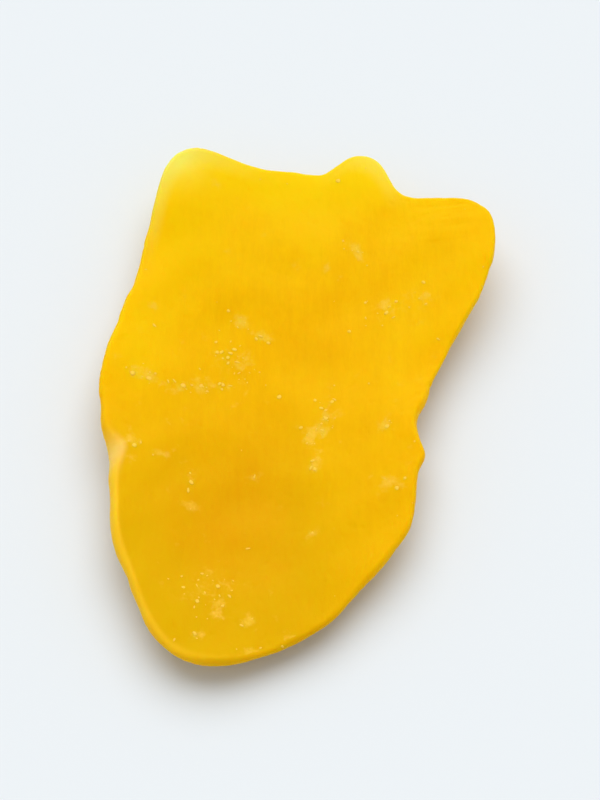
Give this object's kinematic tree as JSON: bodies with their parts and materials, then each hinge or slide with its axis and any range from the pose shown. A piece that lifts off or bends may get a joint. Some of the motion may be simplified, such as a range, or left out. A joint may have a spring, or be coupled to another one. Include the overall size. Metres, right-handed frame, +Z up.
{
  "type": "dried mango slice",
  "caption": "Slice of dried mango: a thin, curled, leathery slab with lifted far corners, a round near end and a shallow hollow on top.",
  "frame": {"origin": "on the surface that the slice lies on, under the middle of its bounding box", "axes": "+X across the slice, to the viewer's right; +Y along the slice, away from the viewer, towards its wide end; +Z up"},
  "size_m": [0.0504, 0.0776, 0.0084],
  "materials": {
    "mango_flesh": "satin, slightly translucent, with pale sugar bloom"
  },
  "bodies": {
    "root": {"mango_slice": "mango_flesh"}
  },
  "joints": []
}
